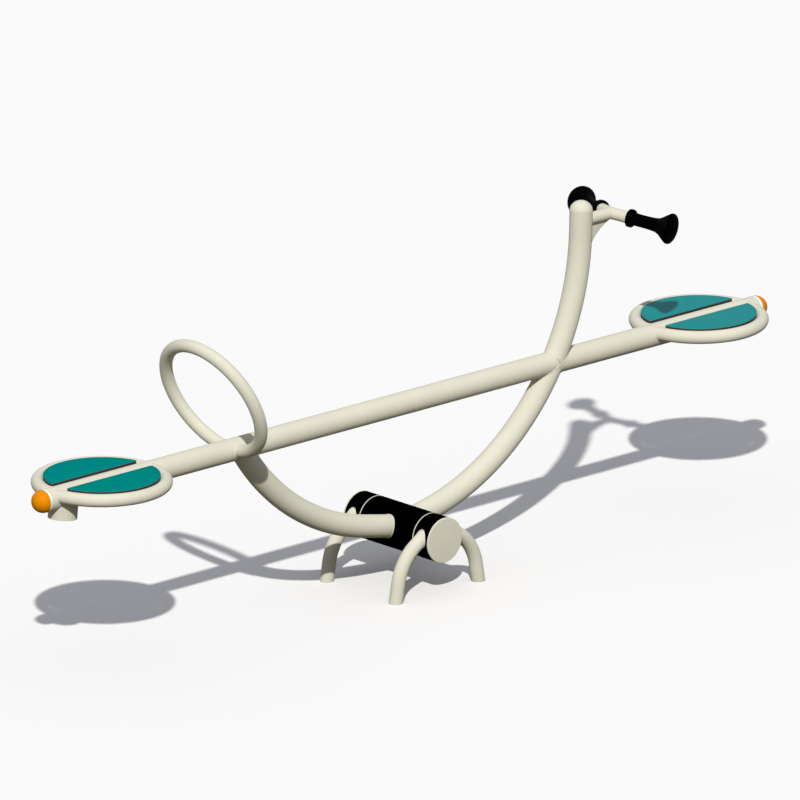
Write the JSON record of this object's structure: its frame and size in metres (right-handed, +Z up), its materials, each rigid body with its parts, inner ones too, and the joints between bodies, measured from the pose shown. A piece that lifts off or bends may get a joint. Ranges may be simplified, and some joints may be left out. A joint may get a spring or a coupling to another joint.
{
  "type": "seesaw",
  "caption": "Low playground seesaw: straight tube beam on a central sprung bearing, round padded-ring seats, hoop handle and twin-grip handlebar.",
  "frame": {"origin": "on the ground under the middle of the beam", "axes": "+X along the beam towards the seat with the handlebar, +Y across, away from the near seat halves, +Z up"},
  "size_m": [2.446, 0.3548, 0.8553],
  "materials": {
    "cream_powder_coat": "satin cream powder coat on steel",
    "black_powder_coat": "satin black powder coat on steel",
    "teal_laminate": "teal high-pressure laminate with a dark brown core",
    "orange_plastic": "moulded orange plastic, satin gloss",
    "pale_seal": "pale plastic sealing ring",
    "black_rubber": "moulded black rubber",
    "zinc_steel": "zinc plated steel",
    "bronze": "plain bearing bronze"
  },
  "bodies": {
    "stand": {"axle": "zinc_steel", "hub_collar_near": "black_powder_coat", "hub_collar_far": "black_powder_coat", "hub_cap_near": "cream_powder_coat", "hub_cap_far": "cream_powder_coat", "axle_nut_near": "zinc_steel", "axle_nut_far": "zinc_steel", "torsion_rubber_near": "black_rubber", "torsion_rubber_far": "black_rubber", "stop_arm": "zinc_steel", "leg_left_near": "cream_powder_coat", "leg_left_far": "cream_powder_coat", "leg_right_near": "cream_powder_coat", "leg_right_far": "cream_powder_coat"},
    "rocker": {"main_beam": "cream_powder_coat", "end_seal_left": "pale_seal", "end_dome_left": "orange_plastic", "end_seal_right": "pale_seal", "end_dome_right": "orange_plastic", "seat_ring_left_near": "cream_powder_coat", "seat_pad_left_near": "teal_laminate", "seat_plate_left_near": "cream_powder_coat", "pad_screw_left_near_a": "zinc_steel", "pad_screw_left_near_b": "zinc_steel", "seat_ring_left_far": "cream_powder_coat", "seat_pad_left_far": "teal_laminate", "seat_plate_left_far": "cream_powder_coat", "pad_screw_left_far_a": "zinc_steel", "pad_screw_left_far_b": "zinc_steel", "seat_ring_right_near": "cream_powder_coat", "seat_pad_right_near": "teal_laminate", "seat_plate_right_near": "cream_powder_coat", "pad_screw_right_near_a": "zinc_steel", "pad_screw_right_near_b": "zinc_steel", "seat_ring_right_far": "cream_powder_coat", "seat_pad_right_far": "teal_laminate", "seat_plate_right_far": "cream_powder_coat", "pad_screw_right_far_a": "zinc_steel", "pad_screw_right_far_b": "zinc_steel", "bow_left": "cream_powder_coat", "bow_right": "cream_powder_coat", "handle_column": "cream_powder_coat", "column_cap": "cream_powder_coat", "handle_stem": "cream_powder_coat", "stem_gusset": "cream_powder_coat", "handle_bar_near": "cream_powder_coat", "handle_bar_far": "cream_powder_coat", "handle_grip_near": "black_rubber", "handle_grip_far": "black_rubber", "hoop_handle": "cream_powder_coat", "ground_stop_tube": "cream_powder_coat", "ground_stop_buffer": "black_rubber", "pivot_sleeve": "black_powder_coat", "hub_seam_ring_near": "cream_powder_coat", "hub_seam_ring_far": "cream_powder_coat", "bearing_bush_near": "bronze", "bearing_bush_far": "bronze", "travel_buffer_left": "black_rubber", "travel_buffer_right": "black_rubber"}
  },
  "joints": [
    {"name": "seesaw_pivot", "type": "hinge", "parent": "stand", "child": "rocker", "pos_m": [0, 0, 0.139], "axis": [0, 1, 0], "range_deg": [-19.4, 19.4], "stiffness_Nm_per_rad": 320, "springref_deg": -0.98}
  ]
}
